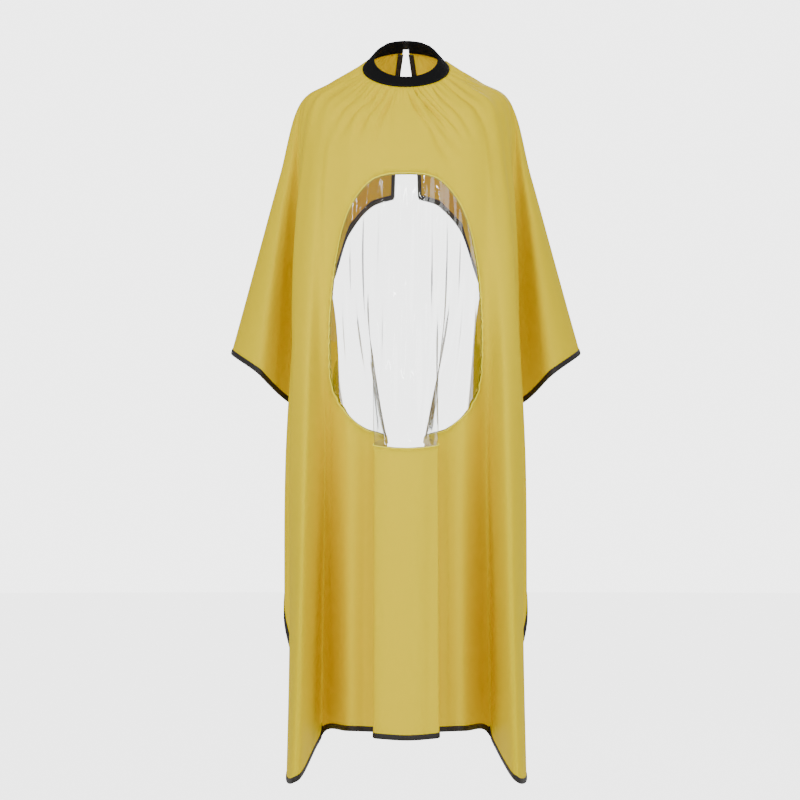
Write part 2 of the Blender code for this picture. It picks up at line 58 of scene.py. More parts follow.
camera_data = bpy.data.cameras.new("camera")
camera_data.sensor_width = 36.0
camera_data.lens = camera_data.sensor_width * CAMERA_DISTANCE / IMAGE_WIDTH
camera = bpy.data.objects.new("camera", camera_data)
camera.location = (VIEW_CENTRE[0], VIEW_CENTRE[1] - CAMERA_DISTANCE, VIEW_CENTRE[2])
camera.rotation_euler = (np.pi / 2, 0, 0)
bpy.context.scene.collection.objects.link(camera)
bpy.context.scene.camera = camera
print("lens:", round(camera_data.lens, 1), "mm")

# %% [markdown]
# ## The hang lines
#
# A draped sheet is hard to model by pushing single vertices. It is easier to follow lines in the cloth that run
# from the neckband down to the hem, because each one hangs nearly straight below the point where it leaves the
# shoulder or chest. Each line here has an angle round the neckband, its end on the flat cloth, the point where it
# turns over the body, and its place in plan at five heights. The cloth between two lines is a smooth curve.

# %% Sizes of the cut cloth and the neckband
CUT_WIDTH = 1.44
FRONT_LENGTH = 1.305
BACK_LENGTH = 0.38
CORNER_TRIM = 0.030
NECK_HOLE_RADIUS = 0.10
NECK_HALF_WIDTH = 0.079
NECK_HALF_DEPTH = 0.088
BAND_TOP_SHARE = 0.76
BAND_HEIGHT = 0.019
BAND_DROP = 0.005
BAND_TILT = 0.037
BAND_OVERLAP = 0.008
BAND_END = 4

# %% The lines, from the middle of the front round to the slit
LEVELS = (-0.20, -0.45, -0.72, -1.02, -1.36)
HANG_LINES = (
    ("centre_front", 0, (0.000, 1.0), (0.000, -0.124, -0.110),
     ((0.000, -0.150), (0.000, -0.167), (0.000, -0.196), (0.000, -0.200), (0.000, -0.206))),
    ("panel_middle", 9, (0.045, 1.0), (0.028, -0.123, -0.109),
     ((0.033, -0.149), (0.036, -0.166), (0.036, -0.194), (0.036, -0.198), (0.037, -0.204))),
    ("pleat_front", 17, (0.085, 1.0), (0.050, -0.120, -0.106),
     ((0.058, -0.146), (0.062, -0.159), (0.059, -0.185), (0.059, -0.188), (0.060, -0.193))),
    ("pleat_inside", 25, (0.125, 1.0), (0.066, -0.116, -0.103),
     ((0.080, -0.142), (0.079, -0.151), (0.032, -0.166), (0.032, -0.166), (0.033, -0.168))),
    ("pleat_back", 33, (0.170, 1.0), (0.084, -0.110, -0.100),
     ((0.101, -0.136), (0.100, -0.144), (0.070, -0.146), (0.070, -0.143), (0.071, -0.143))),
    ("panel_side", 42, (0.250, 1.0), (0.102, -0.101, -0.094),
     ((0.122, -0.129), (0.122, -0.139), (0.107, -0.145), (0.109, -0.143), (0.111, -0.142))),
    ("window_side", 52, (0.430, 1.0), (0.120, -0.089, -0.086),
     ((0.142, -0.119), (0.144, -0.130), (0.141, -0.094), (0.144, -0.044), (0.148, -0.014))),
    ("valley_turn", 56, (0.60, 1.0), (0.128, -0.083, -0.082),
     ((0.151, -0.114), (0.157, -0.133), (0.154, -0.098), (0.160, -0.048), (0.165, -0.020))),
    ("fold_ridge", 61, (0.820, 1.0), (0.137, -0.075, -0.078),
     ((0.160, -0.106), (0.175, -0.146), (0.181, -0.192), (0.187, -0.234), (0.196, -0.262))),
    ("fold_edge", 69, (0.985, 0.985), (0.151, -0.060, -0.072),
     ((0.178, -0.088), (0.200, -0.120), (0.213, -0.134), (0.214, -0.148), (0.221, -0.166))),
    ("fold_return", 76, (1.0, 0.90), (0.163, -0.045, -0.067),
     ((0.189, -0.066), (0.207, -0.086), (0.198, -0.080), (0.177, -0.070), (0.170, -0.068))),
    ("side_strip", 82, (1.0, 0.71), (0.172, -0.030, -0.063),
     ((0.196, -0.044), (0.206, -0.048), (0.220, -0.036), (0.222, -0.026), (0.224, -0.022))),
    ("inward_run", 87, (1.0, 0.54), (0.179, -0.017, -0.060),
     ((0.197, -0.022), (0.180, -0.004), (0.176, 0.016), (0.174, 0.022), (0.174, 0.022))),
    ("inner_fold", 90, (1.0, 0.39), (0.183, -0.008, -0.059),
     ((0.190, -0.004), (0.134, 0.030), (0.124, 0.048), (0.122, 0.050), (0.122, 0.050))),
    ("inner_turn", 93, (1.0, 0.33), (0.185, 0.000, -0.059),
     ((0.195, 0.006), (0.148, 0.056), (0.146, 0.082), (0.145, 0.085), (0.145, 0.085))),
    ("flap_inner", 96, (1.0, 0.24), (0.188, 0.006, -0.059),
     ((0.204, 0.008), (0.212, 0.024), (0.226, 0.030), (0.230, 0.032), (0.230, 0.032))),
    ("flap_front", 100, (1.0, 0.15), (0.190, 0.010, -0.060),
     ((0.219, 0.000), (0.256, -0.030), (0.286, -0.036), (0.302, -0.034), (0.312, -0.030))),
    ("flap_edge", 105, (1.0, 0.00), (0.190, 0.018, -0.061),
     ((0.232, 0.022), (0.302, 0.044), (0.376, 0.060), (0.444, 0.074), (0.504, 0.084))),
    ("flap_back", 112, (1.0, -0.42), (0.187, 0.034, -0.062),
     ((0.222, 0.058), (0.256, 0.126), (0.270, 0.156), (0.280, 0.166), (0.290, 0.176))),
    ("back_corner", 126, (0.985, -0.97), (0.168, 0.060, -0.056),
     ((0.192, 0.090), (0.200, 0.120), (0.212, 0.126), (0.216, 0.128), (0.216, 0.128))),
    ("back_fold", 136, (0.82, -1.0), (0.148, 0.077, -0.050),
     ((0.172, 0.106), (0.190, 0.180), (0.200, 0.206), (0.204, 0.210), (0.204, 0.210))),
    ("back_side", 147, (0.60, -1.0), (0.120, 0.094, -0.042),
     ((0.138, 0.104), (0.142, 0.112), (0.144, 0.114), (0.144, 0.114), (0.144, 0.114))),
    ("back_middle", 159, (0.38, -1.0), (0.082, 0.107, -0.032),
     ((0.104, 0.142), (0.108, 0.184), (0.110, 0.194), (0.110, 0.194), (0.110, 0.194))),
    ("back_valley", 168, (0.17, -1.0), (0.045, 0.112, -0.026),
     ((0.062, 0.112), (0.068, 0.110), (0.070, 0.110), (0.070, 0.110), (0.070, 0.110))),
    ("slit_edge", 180 - BAND_END, (0.01, -1.0), (0.013, 0.114, -0.022),
     ((0.022, 0.146), (0.028, 0.158), (0.028, 0.160), (0.028, 0.160), (0.028, 0.160))),
)
LINE = {line[0]: index for index, line in enumerate(HANG_LINES)}
LAST_LINE = len(HANG_LINES) - 1
print("hang lines:", 2 * len(HANG_LINES) - 1)

# %% [markdown]
# ## From lines to a surface
#
# Two steps of the same smooth curve make the surface. First each hang line becomes points evenly spaced along the
# cloth, so a row of the surface is always the same distance down from the neckband, as a row of weave is. Then the
# points of a row are joined across the lines. A cubic curve with its slopes taken from its neighbours passes
# through every point and doesn't swing out between them.


# %% Curves through points
def curve_through(points, knots, at):
    """Points on the smooth curve through the given points, which it passes at the knots."""
    points, knots, at = np.asarray(points, float), np.asarray(knots, float), np.asarray(at, float)
    slopes = np.empty_like(points)
    steps = np.diff(knots).reshape((-1,) + (1,) * (points.ndim - 1))
    chords = np.diff(points, axis=0) / steps
    slopes[1:-1] = (chords[:-1] * steps[1:] + chords[1:] * steps[:-1]) / (steps[:-1] + steps[1:])
    slopes[0], slopes[-1] = chords[0], chords[-1]
    index = np.clip(np.searchsorted(knots, at, side="right") - 1, 0, len(knots) - 2)
    shape = (-1,) + (1,) * (points.ndim - 1)
    width = (knots[index + 1] - knots[index]).reshape(shape)
    t = (at - knots[index]).reshape(shape) / width
    start = (1 + 2 * t) * (1 - t) ** 2
    return (
        start * points[index]
        + t * (1 - t) ** 2 * width * slopes[index]
        + (1 - start) * points[index + 1]
        + t * t * (t - 1) * width * slopes[index + 1]
    )


def band_point(degrees, share):
    """A point on the neckband's middle surface: share 0 is its lower edge and 1 its upper edge."""
    turn = np.radians(degrees)
    size = 1 - share * (1 - BAND_TOP_SHARE)
    return np.array(
        (
            NECK_HALF_WIDTH * size * np.sin(turn),
            -NECK_HALF_DEPTH * size * np.cos(turn),
            share * BAND_HEIGHT - BAND_DROP - BAND_TILT * np.cos(turn),
        )
    )


# %% Each line as evenly spaced points
TAUT_PLACE = 0.55  # where the cloth is straightest between the neckband and the turn over the shoulder
TAUT_RISE = 0.002
STEPS_ALONG = 480
PATH_SAMPLES = 240


def flat_length(end):
    """How much cloth there is from the edge of the neck hole to this end of a hang line."""
    across, along = end
    reach = (across * CUT_WIDTH / 2, along * (FRONT_LENGTH if along > 0 else BACK_LENGTH))
    trim = CORNER_TRIM if min(abs(across), abs(along)) > 0.96 else 0
    return float(np.hypot(*reach)) - NECK_HOLE_RADIUS - trim


def hang_line(line):
    """Points down one hang line, from inside the neckband to the cloth's edge."""
    name, degrees, end, turn, plans = line
    slant = np.linalg.norm(band_point(degrees, 1) - band_point(degrees, 0))
    inside, below_band = band_point(degrees, BAND_OVERLAP / slant), band_point(degrees, 0)
    taut = below_band + (np.array(turn) - below_band) * TAUT_PLACE + (0, 0, TAUT_RISE)
    path = [inside, below_band, taut, turn]
    path = np.array(path + [(*plan, level) for plan, level in zip(plans, LEVELS)])
    knots = np.concatenate(([0], np.cumsum(np.linalg.norm(np.diff(path, axis=0), axis=1) ** 0.5)))
    fine = curve_through(path, knots, np.linspace(0, knots[-1], PATH_SAMPLES * len(path)))
    run = np.concatenate(([0], np.cumsum(np.linalg.norm(np.diff(fine, axis=0), axis=1))))
    wanted = np.linspace(0, BAND_OVERLAP + flat_length(end), STEPS_ALONG + 1)
    return np.stack([np.interp(wanted, run, fine[:, axis]) for axis in range(3)], axis=1)


LINES = np.array([hang_line(line) for line in HANG_LINES])
LENGTHS = np.array([BAND_OVERLAP + flat_length(line[2]) for line in HANG_LINES])
MIDDLE_PLANS = np.array([line[4][1] for line in HANG_LINES])
KNOTS = np.concatenate(([0], np.cumsum(np.linalg.norm(np.diff(MIDDLE_PLANS, axis=0), axis=1) ** 0.5)))
print("longest line:", round(float(LENGTHS.max()), 3), "m")


# %% A whole grid of the surface at once
def length_at(lines):
    """How long the cloth is at these places between the hang lines."""
    return np.interp(np.abs(lines), range(len(LENGTHS)), LENGTHS)


def drape(lines, distances):
    """Points of the cloth. lines count hang lines from the centre front, negative on the left. distances run down
    the cloth from its edge inside the neckband."""
    lines, distances = np.broadcast_arrays(np.asarray(lines, float), np.asarray(distances, float))
    shape = lines.shape
    lines, distances = lines.ravel(), distances.ravel()
    all_lines = np.concatenate((LINES[1:4][::-1] * (-1, 1, 1), LINES))
    all_knots = np.concatenate((-KNOTS[1:4][::-1], KNOTS))
    place = np.interp(np.abs(lines), range(len(KNOTS)), KNOTS)
    at = np.clip(distances / length_at(lines), 0, 1) * STEPS_ALONG
    low = np.clip(np.floor(at).astype(int), 0, STEPS_ALONG - 1)
    between = (at - low)[:, None]
    cell = np.clip(np.searchsorted(all_knots, place, side="right") - 1, 0, len(all_knots) - 2)

    def point(index):
        index = np.clip(index, 0, len(all_lines) - 1)
        return all_lines[index, low] * (1 - between) + all_lines[index, low + 1] * between

    points = [point(cell + step) for step in (-1, 0, 1, 2)]
    knots = [all_knots[np.clip(cell + step, 0, len(all_knots) - 1)][:, None] for step in (-1, 0, 1, 2)]

    def slope(before, here, after):
        first, second = knots[here] - knots[before], knots[after] - knots[here]
        one = (points[here] - points[before]) / np.where(first > 0, first, 1)
        two = (points[after] - points[here]) / np.where(second > 0, second, 1)
        both = (one * second + two * first) / (first + second)
        return np.where(second <= 0, one, np.where(first <= 0, two, both))

    width = knots[2] - knots[1]
    t = (place[:, None] - knots[1]) / width
    start = (1 + 2 * t) * (1 - t) ** 2
    result = (
        start * points[1]
        + t * (1 - t) ** 2 * width * slope(0, 1, 2)
        + (1 - start) * points[2]
        + t * t * (t - 1) * width * slope(1, 2, 3)
    )
    result[:, 0] *= np.where(lines < 0, -1, 1)
    return result.reshape(shape + (3,))


print("hem at the centre front:", drape(0.0, length_at(0.0)).round(3))

# %% [markdown]
# ## The cloth as one grid
#
# A plain grid is the best mesh for woven cloth, because folds, bindings and a solidify all work evenly on it.
# The grid is first laid flat, with one axis for the hang lines and one for the distance down from the neckband.
# Rows are closer together near the neckband, where the gathers are only a few millimetres wide.

# %% The rows and columns of the flat grid
COLUMNS_PER_LINE = 8
GATHER_ROWS, FALL_ROWS = 26, 107
GATHER_REACH = 0.12  # metres below the cloth's upper edge
HEM_ROW = 0.006


def grid_distances(lines, rows):
    """The distance down the cloth of each row, at each of these lines."""
    length = length_at(lines)
    share = np.clip((rows - GATHER_ROWS) / (FALL_ROWS - 1), 0, 1)
    fall = GATHER_REACH + (length - HEM_ROW - GATHER_REACH) * share
    last_row = rows == GATHER_ROWS + FALL_ROWS
    return np.where(rows <= GATHER_ROWS, GATHER_REACH * rows / GATHER_ROWS, fall) + HEM_ROW * last_row


CUT_ENDS = np.array([
    (line[2][0] * CUT_WIDTH / 2, line[2][1] * (FRONT_LENGTH if line[2][1] > 0 else BACK_LENGTH)) for line in HANG_LINES
])
CUT_ANGLES = np.arctan2(CUT_ENDS[:, 0], CUT_ENDS[:, 1])


def flat_place(lines, distances):
    """Where a point of the cloth is on the flat, cut piece, in metres from the middle of the neck hole."""
    turn = np.sign(lines) * np.interp(np.abs(lines), range(len(CUT_ANGLES)), CUT_ANGLES)
    radius = NECK_HOLE_RADIUS - BAND_OVERLAP + distances
    return np.stack([radius * np.sin(turn), -radius * np.cos(turn)], axis=-1)


print("cut corners:", flat_place(np.array([LINE["fold_edge"]]), length_at(LINE["fold_edge"])).round(3))

# %% [markdown]
# ## Cut the window
#
# The window is an egg, wide end down. Deleting faces inside it would leave a stepped edge, so the grid is fitted
# first: where an edge of the grid crosses the outline, its nearer end slides onto the outline. A cell that the
# outline crosses from corner to corner is then split, and the faces on one side go. The clear sheet is cut from a
# second grid in the same way, with the faces outside a slightly larger outline taken away.

# %% The outline of the window, as a measure of how far in a point is
WINDOW_TOP = 0.272 - NECK_HOLE_RADIUS + BAND_OVERLAP
WINDOW_UPPER_LENGTH = 0.377
WINDOW_LOWER_LENGTH = 0.128
WINDOW_HALF_WIDTH = 0.174
WINDOW_WIDEST = WINDOW_TOP + WINDOW_UPPER_LENGTH
UPPER_SQUARENESS, LOWER_SQUARENESS = 2.2, 2.9
WINDOW_PLACES = (0.0, 0.032, 0.0595, 0.0895, 0.119, 0.150, 0.178, 0.209, 0.240, 0.300)


def window_depth(lines, distances, margin=0.0):
    """Above 0 inside the window and below 0 outside it, in about metres."""
    across = np.interp(np.abs(lines), range(len(WINDOW_PLACES)), WINDOW_PLACES) / (WINDOW_HALF_WIDTH + margin)
    upper = distances < WINDOW_WIDEST
    power = np.where(upper, UPPER_SQUARENESS, LOWER_SQUARENESS)
    half_length = np.where(upper, WINDOW_UPPER_LENGTH, WINDOW_LOWER_LENGTH) + margin
    along = np.abs(distances - WINDOW_WIDEST) / half_length
    radius = (across**power + along**power) ** (1 / power)
    scale = np.where(upper, WINDOW_HALF_WIDTH, WINDOW_LOWER_LENGTH)
    return (1 - radius) * scale


# %% Cut a grid along the outline
def cut_grid(first_line, last_line, margin, keep_inside):
    """A flat grid between two lines, cut along the window's outline. It comes with its line and distance layers."""
    grid = bmesh.new()
    columns, rows = int((last_line - first_line) * COLUMNS_PER_LINE), GATHER_ROWS + FALL_ROWS
    bmesh.ops.create_grid(grid, x_segments=columns, y_segments=rows, size=1)
    flat = np.array([vertex.co for vertex in grid.verts])
    lines = first_line + (flat[:, 0] + 1) / 2 * (last_line - first_line)
    distances = grid_distances(lines, np.round((flat[:, 1] + 1) / 2 * rows))
    edges = np.array([[vertex.index for vertex in edge.verts] for edge in grid.edges])

    def depths():
        depth = window_depth(lines, distances, margin)
        depth[np.abs(depth) < 1e-5] = 0
        return depth

    for fitting_pass in range(3):
        depth = depths()
        best = {}
        for a, b in edges[depth[edges[:, 0]] * depth[edges[:, 1]] < 0]:
            t = depth[a] / (depth[a] - depth[b])
            near, far, move = (a, b, t) if t < 0.5 else (b, a, 1 - t)
            if near not in best or move < best[near][1]:
                best[near] = (far, move)
        for near, (far, move) in best.items():
            low, high = 0.0, 1.0
            for halving in range(24):
                middle = (low + high) / 2
                line = lines[near] + (lines[far] - lines[near]) * middle
                distance = distances[near] + (distances[far] - distances[near]) * middle
                on_near_side = (window_depth(line, distance, margin) > 0) == (depth[near] > 0)
                low, high = (middle, high) if on_near_side else (low, middle)
            lines[near], distances[near] = line, distance
    line_layer = grid.verts.layers.float.new("line")
    distance_layer = grid.verts.layers.float.new("distance")
    side_layer = grid.verts.layers.float.new("side")
    for vertex, line, distance, depth in zip(grid.verts, lines, distances, depths()):
        vertex[line_layer], vertex[distance_layer] = line, distance
        vertex[side_layer] = -depth if keep_inside else depth
    for face in list(grid.faces):
        values = [vertex[side_layer] for vertex in face.verts]
        rim = [vertex for vertex in face.verts if vertex[side_layer] == 0]
        if max(values) > 0 > min(values) and len(rim) == 2:
            bmesh.ops.connect_verts(grid, verts=rim)
    spare = [face for face in grid.faces if max(vertex[side_layer] for vertex in face.verts) > 0]
    bmesh.ops.delete(grid, geom=spare, context="FACES")
    return grid


cloth_grid = cut_grid(-LAST_LINE, LAST_LINE, 0.0, keep_inside=False)
print("cloth faces:", len(cloth_grid.faces))

# %% [markdown]
# ## Gathers and soft folds
#
# Where the neck hole is drawn up to fit the band, the spare cloth stands in small tucks. A real gather is never
# regular: tucks differ in height, and most die out within a hand's breadth while a few run on as folds. Each tuck
# here is a narrow hump that widens and fades as it goes down, with its own place, height and length, all drawn
# from one seeded generator so that every run is the same.

# %% The humps of the gathers
ANGLES = np.array([line[1] for line in HANG_LINES], float)
TUCK_SPACING = 6.4  # degrees round the neckband
draw = np.random.default_rng(7)
tuck_places = np.arange(-172, 173, TUCK_SPACING)
tuck_places = tuck_places + draw.uniform(-1.8, 1.8, len(tuck_places))
TUCK_REACHES = [0.030, 0.050, 0.090, 0.140]
tucks = [
    (place, draw.uniform(0.0022, 0.0050), draw.choice(TUCK_REACHES, p=[0.3, 0.3, 0.25, 0.15]),
     draw.uniform(1.2, 2.0), draw.uniform(-30, 70))
    for place in tuck_places
]
# long creases: place round the band, height, where it is strongest below the band, length, width, drift
CREASES = (
    (1.0, 0.0034, 0.050, 0.060, 1.6, 150), (9.0, 0.0038, 0.055, 0.065, 1.7, 190), (16.5, 0.0030, 0.050, 0.060, 1.8, 170),
    (24.0, 0.0020, 0.050, 0.070, 2.2, 110), (-12.0, 0.0026, 0.055, 0.055, 2.0, -60), (-21.0, 0.0028, 0.060, 0.060, 2.2, -95),
    (-31.0, 0.0026, 0.070, 0.060, 2.6, -115), (34.0, 0.0020, 0.070, 0.060, 2.8, 90), (-45.0, 0.0020, 0.080, 0.060, 3.0, -80),
    (3.0, 0.0028, 0.115, 0.035, 2.6, 210), (-4.0, 0.0024, 0.130, 0.030, 2.6, 190), (52.0, 0.0018, 0.090, 0.060, 3.0, 60),
)


def gathers(lines, below_band):
    """How far the gathers lift the cloth, at this distance below the neckband's lower edge."""
    degrees = np.sign(lines) * np.interp(np.abs(lines), range(len(ANGLES)), ANGLES)
    down = np.maximum(below_band, 0)
    lift = np.zeros_like(degrees)
    for place, height, reach, width, drift in tucks:
        spread = width + 20 * down
        lift += 1.3 * height * np.exp(-(((degrees - place - drift * down) / spread) ** 2) - (down / reach) ** 1.6)
    for place, height, middle, length, width, drift in CREASES:
        spread = width * (0.55 + 4.5 * down)
        along = np.exp(-(((down - middle) / length) ** 2))
        lift -= 2.3 * height * along * np.exp(-(((degrees - place - drift * down) / spread) ** 2))
    return lift * np.clip(below_band / 0.004, 0, 1)


print("tucks:", len(tucks), "creases:", len(CREASES))

# %% Slow waves down the cloth, and puckers round the window
waves = [(draw.uniform(0.5, 1.9), draw.uniform(0, 2 * np.pi), draw.uniform(-2.5, 2.5)) for wave in range(9)]


def slow_waves(lines, below_band):
    """Broad, low waves that run down the cloth, as thin cloth has where nothing draws it flat."""
    lift = np.zeros_like(lines)
    for number, (count, phase, lean) in enumerate(waves):
        lift += np.sin(count * 2.2 * lines + phase + lean * below_band * 2.4 + number) / len(waves) ** 0.5
    grow = np.clip((below_band - 0.05) / 0.20, 0, 1)
    return 0.0014 * lift * grow


def puckers(lines, distances):
    """Small ripples that the stitching leaves beside the window, strongest low on its sides."""
    outside = np.maximum(-window_depth(lines, distances), 0)
    turn = np.arctan2(distances - WINDOW_WIDEST + 0.10, np.interp(np.abs(lines), range(len(WINDOW_PLACES)), WINDOW_PLACES) * np.sign(lines))
    wave = np.sin(turn * 62 + 3 * np.sin(turn * 5)) + 0.6 * np.sin(turn * 101 + 1.3)
    low = np.clip((distances - WINDOW_TOP) / WINDOW_UPPER_LENGTH, 0.25, 1)
    return 0.0010 * wave * low * np.exp(-((outside / 0.011) ** 1.5))


# %% Raise the flat grid into its folds
def unit(vectors):
    return vectors / np.maximum(np.linalg.norm(vectors, axis=-1, keepdims=True), 1e-9)


def drape_frame(lines, distances):
    """The cloth's point, outward normal, and directions down it and across it to the wearer's left."""
    lines = np.clip(lines, -LAST_LINE + 0.02, LAST_LINE - 0.02)
    across = unit(drape(lines + 0.02, distances) - drape(lines - 0.02, distances))
    down = unit(drape(lines, distances + 0.002) - drape(lines, distances - 0.002))
    end = distances > length_at(lines) - 0.002
    up = unit(drape(lines, distances - 0.001) - drape(lines, distances - 0.004))
    down = np.where(end[..., None], up, down)
    return drape(lines, distances), unit(np.cross(down, across)), down, across


def hanging(lines, distances, offset=0.0):
    """A point of the cloth with its gathers, waves and puckers, raised by the offset."""
    lines, distances = np.asarray(lines, float), np.asarray(distances, float)
    point, normal, down, across = drape_frame(lines, distances)
    below = distances - BAND_OVERLAP
    lift = gathers(lines, below) + slow_waves(lines, below) + puckers(lines, distances)
    return drape(lines, distances) + normal * (lift + offset)[..., None]


def raised_piece(name, grid, offset=0.0, lift=hanging):
    """An object made of a cut grid, raised into the folds. Its UV map is its place on the flat, cut cloth."""
    line_layer, distance_layer = (grid.verts.layers.float[layer] for layer in ("line", "distance"))
    lines = np.array([vertex[line_layer] for vertex in grid.verts])
    distances = np.array([vertex[distance_layer] for vertex in grid.verts])
    for vertex, place in zip(grid.verts, lift(lines, distances, offset)):
        vertex.co = place
    grid.verts.index_update()
    uv_layer = grid.loops.layers.uv.new("cut")
    cut = flat_place(lines, distances)
    for face in grid.faces:
        for loop in face.loops:
            loop[uv_layer].uv = cut[loop.vert.index]
    bmesh.ops.recalc_face_normals(grid, faces=grid.faces)
    mesh = bpy.data.meshes.new(name)
    grid.to_mesh(mesh)
    grid.free()
    mesh.shade_smooth()
    obj = bpy.data.objects.new(name, mesh)
    bpy.context.scene.collection.objects.link(obj)
    return obj


cloth = raised_piece("cape_cloth", cloth_grid)
print("cloth:", len(cloth.data.vertices), "vertices")

# %% [markdown]
# ## Sewn strips
#
# Everything sewn to the cloth is a strip: bindings, piping, facing, neckband, tapes. One function makes them all.
# It bends a plain grid onto rows of points, and gives it a UV map in metres, so that a weave has one true size.


# %% One function for every strip
def strip(name, points, thickness=0.0, bevel=0.0):
    """A strip through points[i, j], with i along it and j across it. Doubled points are merged, so a strip whose
    last row repeats its first is a closed tube or ring."""
    points = np.asarray(points, float)
    along, across = points.shape[:2]
    grid = bmesh.new()
    bmesh.ops.create_grid(grid, x_segments=along - 1, y_segments=across - 1, size=1)
    run = np.concatenate(([0], np.cumsum(np.linalg.norm(np.diff(points, axis=0), axis=2).mean(axis=1))))
    reach = np.concatenate(([0], np.cumsum(np.linalg.norm(np.diff(points, axis=1), axis=2).mean(axis=0))))
    flat = np.array([vertex.co for vertex in grid.verts])
    column = np.round((flat[:, 0] + 1) / 2 * (along - 1)).astype(int)
    row = np.round((flat[:, 1] + 1) / 2 * (across - 1)).astype(int)
    uv_layer = grid.loops.layers.uv.new("strip")
    for face in grid.faces:
        for loop in face.loops:
            index = loop.vert.index
            loop[uv_layer].uv = (run[column[index]], reach[row[index]])
    for vertex, place in zip(grid.verts, points[column, row]):
        vertex.co = place
    bmesh.ops.remove_doubles(grid, verts=grid.verts, dist=1e-6)
    bmesh.ops.recalc_face_normals(grid, faces=grid.faces)
    mesh = bpy.data.meshes.new(name)
    grid.to_mesh(mesh)
    grid.free()
    mesh.shade_smooth()
    obj = bpy.data.objects.new(name, mesh)
    bpy.context.scene.collection.objects.link(obj)
    if thickness:
        solid = obj.modifiers.new("thickness", "SOLIDIFY")
        solid.thickness, solid.offset = thickness, 0
    if bevel:
        soft = obj.modifiers.new("soft edge", "BEVEL")
        soft.width, soft.segments, soft.limit_method = bevel, 2, "ANGLE"
    return obj


# %% [markdown]
# ## Bindings
#
# A binding is a narrow tape folded over a raw edge. Its section is a flattened U that is a little fatter at the
# fold than at its stitched rims. Along a slanted hem the hang lines aren't square to the edge, so the tape's depth
# down a line is divided by the sine of the slant, to keep its true width the same all the way round.

# %% The section of a folded tape: how far in from the edge, and its height over the cloth
TAPE_DEPTH = 0.0085
TAPE_THICKNESS = 0.0005
U_SECTION = np.array([
    (1.00, 0.00080), (0.85, 0.00105), (0.60, 0.00115), (0.30, 0.00120), (0.08, 0.00115), (-0.06, 0.00085),
    (-0.13, 0.00045), (-0.15, 0.0), (-0.13, -0.00045), (-0.06, -0.00085), (0.08, -0.00115), (0.30, -0.00120),
    (0.60, -0.00115), (0.85, -0.00105), (1.00, -0.00080),
])


def hem_tape(name, first_line, last_line):
    """A binding along the cloth's lower edge between two hang lines."""
    lines = np.linspace(first_line, last_line, int(abs(last_line - first_line) * 20) + 1)
    ends = length_at(lines)
    edge = hanging(lines, ends)
    tangent = unit(np.gradient(edge, axis=0))
    down = unit(edge - hanging(lines, ends - 0.004))
    slant = np.linalg.norm(np.cross(tangent, down), axis=1)
    depth = TAPE_DEPTH / np.maximum(slant, 0.35)
    points = []
    for share, height in U_SECTION:
        inside = hanging(lines, ends - depth * max(share, 0), height)
        points.append(inside - down * (TAPE_DEPTH * min(share, 0)))
    return strip(name, np.stack(points, axis=1), TAPE_THICKNESS)


def slit_tape(name, side):
    """A binding along the slit, from under the neckband to the hem."""
    line = side * (LAST_LINE - 0.001)
    distances = np.linspace(BAND_OVERLAP + 0.004, length_at(line) - 0.002, 70)
    edge, inner = hanging(line + 0 * distances, distances), hanging(line - side * 0.06 + 0 * distances, distances)
    back = unit(inner - edge)
    normal = drape_frame(line + 0 * distances, distances)[1]
    points = [edge + back * TAPE_DEPTH * share + normal * height for share, height in U_SECTION]
    return strip(name, np.stack(points, axis=1), TAPE_THICKNESS)


TAPE_GAP = 0.002  # of a hang line, between two bindings that meet
corner, back_corner = LINE["fold_edge"], LINE["back_corner"]
tapes = {"front_hem_binding": hem_tape("front_hem_tape", -corner + TAPE_GAP, corner - TAPE_GAP)}
for label, side in (("left", -1), ("right", 1)):
    tapes[f"{label}_side_binding"] = hem_tape(f"{label}_side_tape", side * (corner + TAPE_GAP), side * (back_corner - TAPE_GAP))
    tapes[f"{label}_back_hem_binding"] = hem_tape(
        f"{label}_back_hem_tape", side * (back_corner + TAPE_GAP), side * (LAST_LINE - 0.02)
    )
    tapes[f"{label}_slit_binding"] = slit_tape(f"{label}_slit_tape", side)
print("bindings:", ", ".join(tapes))

# %% [markdown]
# ## The window
#
# The clear sheet lies behind the cloth and reaches a centimetre past the cut edge. A facing tape holds it from
# inside. In front, the turned edge of the cloth makes a thin roll, coloured a little lighter than the cloth as a
# painted highlight, and a row of stitches runs beside it.


# %% Follow the outline with even spacing
def window_loop(margin, turns):
    """Lines and distances on the window's outline, moved out by the margin. turns run from 0 at the top."""
    power = np.where(np.cos(turns) > 0, UPPER_SQUARENESS, LOWER_SQUARENESS)
    half_length = np.where(np.cos(turns) > 0, WINDOW_UPPER_LENGTH, WINDOW_LOWER_LENGTH) + margin
    across = (WINDOW_HALF_WIDTH + margin) * np.sign(np.sin(turns)) * np.abs(np.sin(turns)) ** (2 / power)
    along = half_length * np.sign(np.cos(turns)) * np.abs(np.cos(turns)) ** (2 / power)
    lines = np.sign(across) * np.interp(np.abs(across), WINDOW_PLACES, range(len(WINDOW_PLACES)))
    return lines, WINDOW_WIDEST - along


def even_turns(count):
    """Turns that are evenly spaced along the hanging edge of the window, with the first repeated at the end."""
    fine = np.linspace(0, 2 * np.pi, 8001)
    edge = drape(*window_loop(0.0, fine))
    run = np.concatenate(([0], np.cumsum(np.linalg.norm(np.diff(edge, axis=0), axis=1))))
    return np.interp(np.linspace(0, run[-1], count + 1), run, fine), run[-1]


edge_turns, edge_length = even_turns(720)
print("window edge:", round(float(edge_length), 3), "m")


def outline_frame(turns, margin=0.0, offset=0.0):
    """Points along the outline, with the cloth's normal and the way out from the window in the cloth."""
    lines, distances = window_loop(margin, turns)
    point = hanging(lines, distances, offset)
    normal = drape_frame(lines, distances)[1]
    out = drape(*window_loop(margin + 0.001, turns)) - drape(*window_loop(margin, turns))
    return point, normal, unit(out)


# %% The clear sheet, with its own faint ripples
PANE_MARGIN = 0.010
PANE_BEHIND = -0.0014


